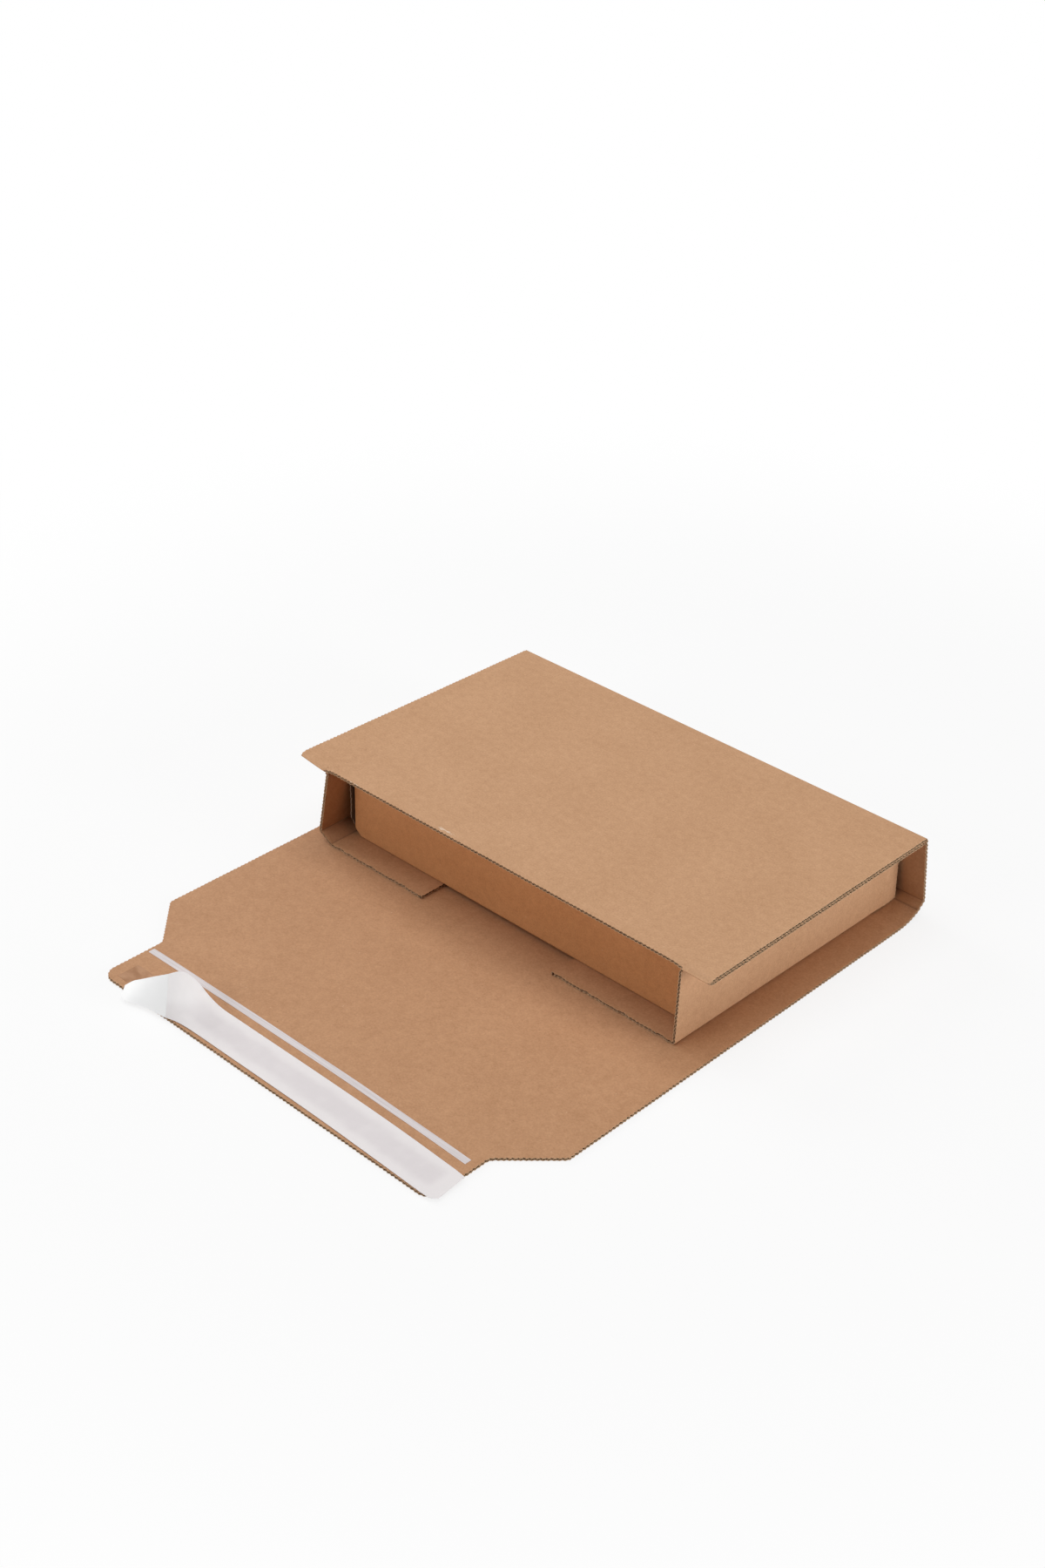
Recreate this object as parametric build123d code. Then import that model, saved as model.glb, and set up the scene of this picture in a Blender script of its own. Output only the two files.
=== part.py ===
"""Book wrap mailer, opened: one folded sheet of corrugated board round a packed carton.

Millimetres, +Z up. X runs along the sheet and -Y is the opening. Every piece is drawn with Y
measured from the front edge of the top panel, then moved back by half the top panel's depth, so
the origin lies under the middle of the folded pack, on the surface that it stands on.
"""

import os
from math import atan2, dist, tan

from build123d import *

# Board
BOARD = 2.0  # thickness of one ply
FOLD_RADIUS = 0.6  # inside radius of a fold or crease
SEAT_GAP = 0.3  # room between plies that only lie on each other

# Top panel, floor panel and the spine that joins them
SHEET_LENGTH = 352.0  # cut edge to cut edge along X
TOP_DEPTH = 216.0  # front edge to back fold
HEIGHT = 62.5  # underside of the floor panel to the top face
SPINE_BULGE = 6.8  # how far the upper crease stands out behind the back fold
UPPER_CREASE_Z = 10.8
LOWER_CREASE_Z = 5.2
CREASE_STEP = 6.3  # lower crease, in from the upper one along Y
CURVE_RUN = 11.5  # half of the floor's curved stretch before the lower crease
FOLD_LINE_Y = -1.0  # fold between the floor panel and the closing flap

# Rims, where the inner ply is turned under the ends of the top panel, and the end doors cut from it
RIM_WIDTH = 22.0  # overhang past the hinge of each door
DOOR_BACK_GAP = 3.0  # back edge of a door's wall to the back fold
FOOT_BACK_GAP = 20.0  # back edge of a door's foot to the back fold
LEFT_BELLY = 9.0  # left door bulges this far out from its hinge at a crease
LEFT_CREASE_Z = 9.5
LEFT_FOOT_STEP = 2.5  # left foot fold, in from the hinge
RIGHT_FOOT_STEP = 2.0  # right foot fold, in from the hinge

# Closing flap
FLAP_REACH = 195.0  # fold line to front edge
TONGUE_DEPTH = 47.0  # front edge to the sloping shoulders
SHOULDER_DEPTH = 31.5  # length of the shoulders along Y
TONGUE_WIDTH = 289.0
SHOULDER_RADIUS = 5.0
TONGUE_RADIUS = 9.0

# Adhesive, its release liner and the tear strip, all on the closing flap
ADHESIVE_WIDTH = 16.0
ADHESIVE_INSET = 5.0  # from the front edge of the flap
ADHESIVE_END_GAP = 9.0  # from the ends of the tongue
ADHESIVE_FILM = 0.2
TEAR_STRIP_WIDTH = 4.8
TEAR_STRIP_INSET = 33.5
TEAR_STRIP_END_GAP = 4.25
TEAR_STRIP_FILM = 0.2
LINER_WIDTH = 26.0
LINER_INSET = 1.0
LINER_OVERHANG = 3.5  # past the right end of the tongue
LINER_FLAT = 203.0  # length that still lies flat, from the right end
LINER_FILM = 0.3

# Bends of the liner's two edges past its flat part: out along -X, along Y and up from each edge's start
PEEL_BACK_BENDS = [(10.5, 0.0, 0.0), (31.0, -13.5, 29.5), (70.5, -21.5, 0.4)]
PEEL_BACK_RADII = [16.0, 8.0]
PEEL_FRONT_BENDS = [(15.0, 0.0, 0.0), (25.0, -8.0, 8.5), (42.0, -14.0, 8.5), (59.0, -16.0, 0.4)]
PEEL_FRONT_RADII = [10.0, 12.0, 14.0]
PEEL_SECTIONS = 12

# Packed carton
CARTON_RECESS = 20.0  # front face, back from the front edge of the top panel
CARTON_BACK_GAP = 9.5  # back face to the back fold
CARTON_END_GAP = 5.0  # end faces to the hinges of the doors
CARTON_HEAD_GAP = 0.3
CARTON_EDGE_RADIUS = 1.0
CARTON_CRUSH_X = 5.7  # crushed lower end edges
CARTON_CRUSH_Z = 4.8

HALF_LENGTH = SHEET_LENGTH / 2
HALF_TONGUE = TONGUE_WIDTH / 2
HINGE_X = HALF_LENGTH - RIM_WIDTH
DOOR_DEPTH = TOP_DEPTH - DOOR_BACK_GAP
FOOT_DEPTH = TOP_DEPTH - FOOT_BACK_GAP
FOOT_Z = BOARD + SEAT_GAP
UNDER_TOP_Z = HEIGHT - BOARD
UNDER_RIM_Z = HEIGHT - 2 * BOARD
UPPER_CREASE_Y = TOP_DEPTH + SPINE_BULGE
LOWER_CREASE_Y = UPPER_CREASE_Y - CREASE_STEP
FLAP_FRONT_Y = FOLD_LINE_Y - FLAP_REACH
OUTER_RADIUS = FOLD_RADIUS + BOARD


def block(low, high):
    """Box between two opposite corners."""
    size = [b - a for a, b in zip(low, high)]
    return Pos(*low) * Box(*size, align=(Align.MIN, Align.MIN, Align.MIN))


def bent_board(points, radii, side):
    """Section of one ply: a bent line thickened by the board towards one side."""
    line = FilletPolyline(*points, radius=radii)
    return make_face(line.offset_2d(BOARD, side=side).edges())


def floor_spine_and_top():
    """Floor panel, curved back, creased spine and top panel, as one bent ply."""
    curve_corner = (LOWER_CREASE_Y - CURVE_RUN, 0)
    lower_crease = (LOWER_CREASE_Y, LOWER_CREASE_Z)
    upper_crease = (UPPER_CREASE_Y, UPPER_CREASE_Z)
    outer_line = [(FOLD_LINE_Y, 0), curve_corner, lower_crease, upper_crease, (TOP_DEPTH, HEIGHT), (0, HEIGHT)]
    # The curve takes up most of the run on both sides of its corner
    curve_radius = 0.85 * CURVE_RUN / tan(atan2(LOWER_CREASE_Z, CURVE_RUN) / 2)
    radii = [curve_radius, OUTER_RADIUS, OUTER_RADIUS, OUTER_RADIUS]
    section = Plane.YZ * bent_board(outer_line, radii, Side.LEFT)
    return extrude(section, HALF_LENGTH, both=True)


def door(wall_line, radii):
    """Rim ply, wall and foot of a right-hand door, from the wall's outer line below its hinge."""
    hinge = (HINGE_X, UNDER_RIM_Z)
    foot_x = wall_line[-1][0]
    wall_length = sum(dist(a, b) for a, b in zip([hinge] + wall_line, wall_line))
    # The two doors met in the middle of the sheet, so each is as long as its hinge is far out
    foot_end = foot_x - (HINGE_X - wall_length)
    outer_line = [(HALF_LENGTH, UNDER_RIM_Z), hinge] + wall_line + [(foot_end, FOOT_Z)]
    section = Plane.XZ * bent_board(outer_line, radii, Side.RIGHT)
    behind_foot = block((foot_end, FOOT_DEPTH, 0), (foot_x - OUTER_RADIUS, DOOR_DEPTH, LOWER_CREASE_Z))
    return extrude(section, -DOOR_DEPTH) - behind_foot - floor_curve_clearance()


def floor_curve_clearance():
    """Wedge over the floor's curve that the lower back corner of a door keeps out of."""
    start = LOWER_CREASE_Y - 2 * CURVE_RUN
    top = LOWER_CREASE_Z + FOOT_Z
    wedge = Polyline((start, 0), (LOWER_CREASE_Y, 0), (LOWER_CREASE_Y, top), (start, FOOT_Z), close=True)
    return extrude(Plane.YZ * make_face(wedge), HALF_LENGTH)


def left_door():
    """Door whose wall bulges outwards over a crease before it turns in to its foot."""
    wall_line = [(HINGE_X + LEFT_BELLY, LEFT_CREASE_Z), (HINGE_X - LEFT_FOOT_STEP, FOOT_Z)]
    return mirror(door(wall_line, [FOLD_RADIUS, OUTER_RADIUS, OUTER_RADIUS]), about=Plane.YZ)


def right_door():
    """Door whose wall stands nearly upright on its foot."""
    return door([(HINGE_X - RIGHT_FOOT_STEP, FOOT_Z)], [FOLD_RADIUS, OUTER_RADIUS])


def with_rim_folds(sheet):
    """The sheet with the front of both rims turned under in a round fold instead of a cut edge."""
    for side in (-1, 1):
        inner, outer = sorted((side * HINGE_X, side * HALF_LENGTH))
        square_front = block((inner, 0, UNDER_RIM_Z), (outer, BOARD, HEIGHT))
        fold = Plane((inner, BOARD, UNDER_TOP_Z), z_dir=(1, 0, 0)) * Circle(BOARD)
        sheet = sheet - square_front + extrude(fold, RIM_WIDTH)
    return sheet


def wrap_sheet():
    """Everything folded from the sheet behind the fold line of the closing flap."""
    return with_rim_folds(floor_spine_and_top() + left_door() + right_door())


def closing_flap():
    """Front panel of the sheet: full width at the fold, sloping shoulders and a narrower tongue."""
    shoulder_y = FLAP_FRONT_Y + TONGUE_DEPTH
    right_half = [
        (HALF_LENGTH, FOLD_LINE_Y),
        (HALF_LENGTH, shoulder_y + SHOULDER_DEPTH),
        (HALF_TONGUE, shoulder_y),
        (HALF_TONGUE, FLAP_FRONT_Y),
    ]
    left_half = [(-x, y) for x, y in reversed(right_half)]
    radii = [0, SHOULDER_RADIUS, SHOULDER_RADIUS, TONGUE_RADIUS]
    outline = FilletPolyline(*right_half, *left_half, radius=radii + radii[::-1], close=True)
    return extrude(make_face(outline.edges()), BOARD)


def adhesive_strip():
    """Band of adhesive under the release liner."""
    end = HALF_TONGUE - ADHESIVE_END_GAP
    front = FLAP_FRONT_Y + ADHESIVE_INSET
    return block((-end, front, BOARD), (end, front + ADHESIVE_WIDTH, BOARD + ADHESIVE_FILM))


def tear_strip():
    """Opening tape behind the liner."""
    end = HALF_TONGUE - TEAR_STRIP_END_GAP
    front = FLAP_FRONT_Y + TEAR_STRIP_INSET
    return block((-end, front, BOARD), (end, front + TEAR_STRIP_WIDTH, BOARD + TEAR_STRIP_FILM))


def peeled_edge(start, bends, radii):
    """Bent line of one edge of the peeled liner."""
    points = [start + Vector(-out, along, up) for out, along, up in bends]
    return FilletPolyline(start, *points, radius=radii)


def peeled_end(front_corner, back_corner):
    """Lifted end of the liner: a film lofted between its two bent edges."""
    front_edge = peeled_edge(front_corner, PEEL_FRONT_BENDS, PEEL_FRONT_RADII)
    back_edge = peeled_edge(back_corner, PEEL_BACK_BENDS, PEEL_BACK_RADII)
    sections = []
    for step in range(PEEL_SECTIONS + 1):
        share = step / PEEL_SECTIONS
        front = front_edge @ share
        back = back_edge @ share
        normal = (back - front).cross(front_edge % share + back_edge % share).normalized()
        film = normal * LINER_FILM
        sections.append(make_face(Polyline(front, back, back + film, front + film, close=True)))
    return loft(sections)


def release_liner():
    """Paper liner on the adhesive: flat to the right, its left end peeled up in a twisted arch."""
    front = FLAP_FRONT_Y + LINER_INSET
    back = front + LINER_WIDTH
    under = BOARD + ADHESIVE_FILM
    right = HALF_TONGUE + LINER_OVERHANG
    peel_x = right - LINER_FLAT
    flat = block((peel_x, front, under), (right, back, under + LINER_FILM))
    return flat + peeled_end(Vector(peel_x, front, under), Vector(peel_x, back, under))


def packed_carton():
    """Closed carton on the feet of the doors, its lower end edges crushed."""
    end = HINGE_X - CARTON_END_GAP
    low = (-end, CARTON_RECESS, FOOT_Z + BOARD)
    high = (end, TOP_DEPTH - CARTON_BACK_GAP, UNDER_TOP_Z - CARTON_HEAD_GAP)
    carton = block(low, high)
    for index in (0, -1):
        face = carton.faces().filter_by(Axis.X).sort_by(Axis.X)[index]
        edge = face.edges().filter_by(Axis.Y).sort_by(Axis.Z)[0]
        carton = chamfer(edge, CARTON_CRUSH_Z, CARTON_CRUSH_X, reference=face)
    return fillet(carton.edges().filter_by(Axis.Z), CARTON_EDGE_RADIUS)


PIECES = {
    "wrap_sheet": wrap_sheet,
    "closing_flap": closing_flap,
    "adhesive_strip": adhesive_strip,
    "release_liner": release_liner,
    "tear_strip": tear_strip,
    "packed_carton": packed_carton,
}

os.makedirs("parts", exist_ok=True)
for name, make in PIECES.items():
    export_step(Pos(0, -TOP_DEPTH / 2, 0) * make(), f"parts/{name}.step")
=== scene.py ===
"""Looks of the opened book wrap mailer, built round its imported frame.

Sizes of the pieces are millimetres in the part's fold frame: X along the sheet, Y from the front edge of
the top panel with minus towards the opening, Z up from the table. to_frame() moves them to the shared
frame. Sizes in finishes and in the studio are metres.
"""

import logging
import math
from collections.abc import Callable
from dataclasses import dataclass, field
from enum import IntEnum

import bpy
import numpy as np
from mathutils import Matrix, Vector
from mathutils.geometry import delaunay_2d_cdt

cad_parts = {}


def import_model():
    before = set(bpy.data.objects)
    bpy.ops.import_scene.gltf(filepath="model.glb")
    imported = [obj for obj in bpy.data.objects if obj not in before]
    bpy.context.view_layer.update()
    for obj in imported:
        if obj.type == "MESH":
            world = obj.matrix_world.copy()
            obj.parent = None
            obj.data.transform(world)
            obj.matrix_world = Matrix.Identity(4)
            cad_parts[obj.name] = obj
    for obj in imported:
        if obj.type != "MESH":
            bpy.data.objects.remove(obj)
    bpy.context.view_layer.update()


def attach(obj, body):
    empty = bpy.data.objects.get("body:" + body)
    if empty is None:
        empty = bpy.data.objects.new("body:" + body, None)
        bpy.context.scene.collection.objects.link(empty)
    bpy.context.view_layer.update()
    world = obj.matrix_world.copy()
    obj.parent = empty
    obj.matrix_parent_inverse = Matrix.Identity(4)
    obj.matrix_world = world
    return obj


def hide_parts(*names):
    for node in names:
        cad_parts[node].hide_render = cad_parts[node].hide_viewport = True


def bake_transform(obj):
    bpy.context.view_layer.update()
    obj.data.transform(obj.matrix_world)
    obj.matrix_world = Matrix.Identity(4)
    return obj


LOG = logging.getLogger("book_wrap")

Array = np.ndarray
Pair = tuple[float, float]
Triple = tuple[float, float, float]
Colour = tuple[float, float, float]
Socket = bpy.types.NodeSocket

MM = 0.001
HALF_TOP_DEPTH = 108.0  # the shared frame's origin lies this far behind the top panel's front edge
BOARD = 2.0
FLUTE_PITCH = 3.1
LOOSEST_FOLD = 5.0  # arcs of a smaller radius are folds, and larger ones are curves
SHARP_CORNER = 1e-6  # radius that stands for none
CREASE_WIDTH = 0.9
CREASE_ROWS = np.array([-2.5, -1.5, -0.8, 0.0, 0.8, 1.5, 2.5])  # rows of points at a fold, in crease widths
LEAST_ROW = 0.05  # rows of points that lie closer together are one row
LOOP_MARGIN = 1.2  # least distance of inner points from the corners of an outline
LOOP_MERGE = 1e-5  # corners of an outline that lie closer together are one corner

# Attributes of the meshes
PLACE = "flat_place"  # place on the unfolded sheet: along the flutes, across them, through the board
# The edge depth also sets the painted shade of a cut: none at 0, darkest at 1
DEPTH = "edge_depth"  # 0 on the liners of a cut edge, 1 deep between them
CREASE = "fold_crease"  # 1 along the middle of a fold, 0 away from it


def to_frame(points: Array) -> Array:
    """Moves points from the fold frame in millimetres to the shared frame in metres.

    Args:
        points: rows of x, y, z.

    Returns:
        The same rows in metres, with the origin under the middle of the folded pack.
    """
    return (points - np.array([0.0, HALF_TOP_DEPTH, 0.0])) * MM


def linear(red: int, green: int, blue: int) -> Colour:
    """Turns an 8-bit screen colour into the linear colour that the shaders take.

    Args:
        red: red, from 0 to 255.
        green: green.
        blue: blue.

    Returns:
        The colour by the sRGB curve: a straight foot, and a power of 2.4 above it.
    """
    screen = np.array([red, green, blue]) / 255
    curve = np.where(screen <= 0.04045, screen / 12.92, ((screen + 0.055) / 1.055) ** 2.4)
    return tuple(float(value) for value in curve)


def ease(values: Array, start: float, end: float) -> Array:
    """Gives a smooth step of values, 3 t^2 - 2 t^3, from 0 at start to 1 at end."""
    t = np.clip((values - start) / (end - start), 0, 1)
    return t * t * (3 - 2 * t)


# Lines and surfaces


class BentLine:
    """A flat line of straight runs joined by tangent arcs, read by the length along it."""

    def __init__(self, corners: list[Pair], radii: list[float]) -> None:
        """Lays out the runs and arcs.

        Where two runs turn by an angle t, an arc of radius r takes r * tan(t / 2) off both of them.

        Args:
            corners: first point, corner points and last point.
            radii: radius of the arc at each corner.
        """
        points = np.array(corners, float)
        runs = np.diff(points, axis=0)
        run_lengths = np.linalg.norm(runs, axis=1)
        along = runs / run_lengths[:, None]
        headings = np.arctan2(runs[:, 1], runs[:, 0])
        turns = (np.diff(headings) + np.pi) % (2 * np.pi) - np.pi
        arc_radii = np.array(radii, float)
        taken = arc_radii * np.tan(np.abs(turns) / 2)
        count = 2 * len(runs) - 1
        self.lengths = np.zeros(count)
        self.lengths[0::2] = run_lengths - np.append(taken, 0) - np.append(0, taken)
        self.lengths[1::2] = arc_radii * np.abs(turns)
        self.curves = np.zeros(count)
        self.curves[1::2] = np.sign(turns) / np.maximum(arc_radii, SHARP_CORNER)
        self.headings = np.repeat(headings, 2)[:count]
        self.origins = np.zeros((count, 2))
        self.origins[0] = points[0]
        self.origins[1::2] = points[1:-1] - taken[:, None] * along[:-1]
        self.origins[2::2] = points[1:-1] + taken[:, None] * along[1:]
        self.starts = np.append(0, np.cumsum(self.lengths))[:-1]

    @property
    def length(self) -> float:
        """Whole length of the line."""
        return float(self.lengths.sum())

    @property
    def middles(self) -> Array:
        """Stations of the middles of all runs and arcs."""
        return self.starts + self.lengths / 2

    def at(self, stations: Array) -> tuple[Array, Array]:
        """Reads points of the line.

        A stretch of curvature k and start heading a reaches, after a length s, the end of a chord
        s * sin(k s / 2) / (k s / 2) long that points along a + k s / 2.

        Args:
            stations: lengths along the line.

        Returns:
            The points, and the unit directions to the left of the line there.
        """
        index = np.clip(np.searchsorted(self.starts, stations, "right") - 1, 0, len(self.starts) - 1)
        run = stations - self.starts[index]
        half_turn = self.curves[index] * run / 2
        chord = run * np.sinc(half_turn / np.pi)
        chord_heading = self.headings[index] + half_turn
        heading = chord_heading + half_turn
        direction = np.stack([np.cos(chord_heading), np.sin(chord_heading)], 1)
        points = self.origins[index] + chord[:, None] * direction
        return points, np.stack([-np.sin(heading), np.cos(heading)], 1)

    def folds(self) -> Array:
        """Gives the stations of the middles of all tight arcs."""
        return self.middles[np.abs(self.curves) > 1 / LOOSEST_FOLD]

    def creasing(self, stations: Array) -> Array:
        """Tells how near stations are to a fold: a bell curve of the distance to the nearest one."""
        away = np.abs(stations[:, None] - self.folds()[None]).min(axis=1)
        return np.exp(-((away / CREASE_WIDTH) ** 2))

    def pressed(self, stations: Array, thickness: float) -> Array:
        """Tells how much of a board's thickness is left near folds that are tighter than the board.

        In the wedge of a fold that turns by t, each ply has half the fold's radius plus d / tan(t / 2)
        of room at a distance d from the fold.

        Args:
            stations: lengths along the line.
            thickness: thickness of the board, which lies to the left of the line.

        Returns:
            Shares of the thickness.
        """
        tight = self.curves > 1 / thickness
        slopes = 1 / np.tan((self.curves * self.lengths)[tight] / 2)
        room = 0.5 / self.curves[tight] + slopes * np.abs(stations[:, None] - self.middles[tight])
        return np.minimum(1.0, room.min(axis=1, initial=thickness) / thickness)

    def rows(self, spacing: float, arc_steps: int) -> Array:
        """Gives stations for the rows of a mesh, evenly spread on runs and arcs, and close at folds.

        Args:
            spacing: widest spacing on the runs.
            arc_steps: steps round each arc.

        Returns:
            The stations, in order.
        """
        ends = self.starts + self.lengths
        steps = np.where(self.curves == 0, np.ceil(self.lengths / spacing), arc_steps).astype(int)
        spread = [np.linspace(a, b, max(n, 1) + 1) for a, b, n in zip(self.starts, ends, steps)]
        near = self.folds()[:, None] + CREASE_WIDTH * CREASE_ROWS
        rows = np.unique(np.round(np.append(np.concatenate(spread), near), 3))
        return rows[np.append(True, np.diff(rows) > LEAST_ROW)]


def straight(*points: Pair) -> BentLine:
    """Gives a line of straight runs."""
    return BentLine(list(points), [0.0] * (len(points) - 2))


def smooth_line(points: list[Triple], steps: int) -> Array:
    """Carries a smooth line through points.

    Between neighbours b and c of a, b, c, d it is the cubic whose end slopes are (c - a) / 2 and
    (d - b) / 2; the missing neighbours of the two ends are mirrored ones.

    Args:
        points: points in order.
        steps: pieces between two points.

    Returns:
        The points of the line.
    """
    knots = np.array(points, float)
    knots = np.vstack([2 * knots[0] - knots[1], knots, 2 * knots[-1] - knots[-2]])
    t = np.linspace(0, len(points) - 1, (len(points) - 1) * steps + 1)
    i = np.minimum(t.astype(int), len(points) - 2)
    u = (t - i)[:, None]
    a, b, c, d = knots[i], knots[i + 1], knots[i + 2], knots[i + 3]
    return b + u * (c - a) / 2 + u**2 * (a - 2.5 * b + 2 * c - d / 2) + u**3 * ((d - a) / 2 + 1.5 * (b - c))


def inside_loop(loop: Array, points: Array) -> Array:
    """Tells which points lie well inside a closed loop.

    A point lies inside where a ray from it to the right crosses an odd number of sides.

    Args:
        loop: corners of the loop.
        points: points to test.

    Returns:
        One flag per point, set only where it also keeps the margin from every corner.
    """
    x, y = points[:, :1], points[:, 1:]
    x0, y0 = loop.T
    x1, y1 = np.roll(loop, -1, axis=0).T
    rise = np.where(y1 == y0, 1.0, y1 - y0)
    crossed = ((y0 > y) != (y1 > y)) & (x < (x1 - x0) * (y - y0) / rise + x0)
    clear = np.hypot(x - x0, y - y0).min(axis=1) > LOOP_MARGIN
    return (crossed.sum(axis=1) % 2 == 1) & clear


def fill_loop(loop: Array, inner: Array) -> tuple[Array, Array]:
    """Fills a closed loop with triangles over its corners and the inner points.

    Args:
        loop: corners, counter-clockwise.
        inner: points inside the loop.

    Returns:
        All points, the loop's first, and the triangles.
    """
    corners = np.vstack([loop, inner]).tolist()
    filled = delaunay_2d_cdt(corners, [], [list(range(len(loop)))], 1, LOOP_MERGE)
    return np.array(filled[0], float), np.array(filled[2], int)


def quads_to_triangles(a: Array, b: Array, c: Array, d: Array) -> Array:
    """Splits quads into triangles.

    Args:
        a: index of the first corner of each quad.
        b: index of the second.
        c: index of the third.
        d: index of the fourth.

    Returns:
        The first triangles of all quads, then their second ones.
    """
    first = np.stack([a.ravel(), b.ravel(), c.ravel()], 1)
    second = np.stack([a.ravel(), c.ravel(), d.ravel()], 1)
    return np.vstack([first, second])


@dataclass
class MeshParts:
    """Points, triangles and attributes of one piece, gathered part by part."""

    parts: list[dict[str, Array]] = field(default_factory=list)
    count: int = 0

    def add(
        self,
        points: Array,
        triangles: Array,
        place: Array,
        depth: Array | float = 0.0,
        crease: Array | float = 0.0,
        finish: Array | int = 0,
        rim: Array | bool = False,
    ) -> None:
        """Adds a part.

        Args:
            points: fold-frame points in millimetres.
            triangles: corner indices into these points.
            place: place of each point on the unfolded sheet, in millimetres.
            depth: how deep in a cut edge each point lies.
            crease: how near to a fold each point lies.
            finish: material index of each triangle.
            rim: flags of the points on an edge that must shade sharp.
        """
        part = {"points": points, "triangles": triangles + self.count, "place": place}
        part["finish"] = np.broadcast_to(finish, len(triangles))
        for name, values in (("depth", depth), ("crease", crease), ("rim", rim)):
            part[name] = np.broadcast_to(values, len(points))
        self.parts.append(part)
        self.count += len(points)

    def joined(self, name: str) -> Array:
        """Joins the values of one name from all parts."""
        return np.concatenate([part[name] for part in self.parts])

    def to_object(self, name: str, materials: list[bpy.types.Material]) -> bpy.types.Object:
        """Makes the piece's object.

        Args:
            name: name of the piece.
            materials: its materials, in the order of the triangles' finish.

        Returns:
            The new object, at the origin, linked to the scene.
        """
        triangles = self.joined("triangles")
        mesh = bpy.data.meshes.new(name)
        mesh.from_pydata(to_frame(self.joined("points")), [], triangles)
        for material in materials:
            mesh.materials.append(material)
        mesh.polygons.foreach_set("material_index", self.joined("finish"))
        mesh.polygons.foreach_set("use_smooth", np.ones(len(triangles), bool))
        edges = np.empty(2 * len(mesh.edges), int)
        mesh.edges.foreach_get("vertices", edges)
        sharp = self.joined("rim")[edges.reshape(-1, 2)].all(axis=1)
        mesh.attributes.new("sharp_edge", "BOOLEAN", "EDGE").data.foreach_set("value", sharp)
        place = self.joined("place") * MM
        mesh.attributes.new(PLACE, "FLOAT_VECTOR", "POINT").data.foreach_set("vector", place.ravel())
        for attribute, values in ((DEPTH, "depth"), (CREASE, "crease")):
            mesh.attributes.new(attribute, "FLOAT", "POINT").data.foreach_set("value", self.joined(values))
        mesh.update()
        piece = bpy.data.objects.new(name, mesh)
        bpy.context.scene.collection.objects.link(piece)
        return piece


def add_film(
    parts: MeshParts,
    middle: Array,
    thickness: float,
    sharp_row: int = 0,
    finishes: tuple[int, int] = (0, 0),
) -> None:
    """Adds a closed film round a curved middle surface.

    Each of its two faces is the middle surface moved by half the thickness along the surface's
    normal, the cross product of its two grid directions, and a strip closes the border.

    Args:
        parts: the piece that takes the film.
        middle: grid of points, rows along the film and columns across it.
        thickness: thickness of the film.
        sharp_row: row along which the film is creased.
        finishes: material indices of the faces and of the border.
    """
    rows, columns = middle.shape[:2]
    normal = np.cross(np.gradient(middle, axis=0), np.gradient(middle, axis=1))
    normal *= thickness / 2 / np.linalg.norm(normal, axis=2, keepdims=True)
    points = np.vstack([(middle + normal).reshape(-1, 3), (middle - normal).reshape(-1, 3)])
    below = rows * columns
    index = np.arange(below).reshape(rows, columns)
    grid = quads_to_triangles(index[:-1, :-1], index[1:, :-1], index[1:, 1:], index[:-1, 1:])
    loop = np.concatenate([index[:-1, 0], index[-1, :-1], index[:0:-1, -1], index[0, :0:-1]])
    after = np.roll(loop, -1)
    border = quads_to_triangles(after, loop, loop + below, after + below)
    run = np.cumsum(np.append(0, np.linalg.norm(np.diff(middle[:, columns // 2], axis=0), axis=1)))
    width = np.cumsum(np.append(0, np.linalg.norm(np.diff(middle[0], axis=0), axis=1)))
    place = np.stack(np.broadcast_arrays(run[:, None], width[None, :], 0.0), 2).reshape(-1, 3)
    rim = np.zeros(below, bool)
    rim[np.append(loop, index[sharp_row])] = True
    triangles = np.vstack([grid, grid[:, ::-1] + below, border])
    finish = np.repeat(finishes, [2 * len(grid), len(border)])
    parts.add(points, triangles, np.vstack([place, place]), finish=finish, rim=np.append(rim, rim))


# Finishes


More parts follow.
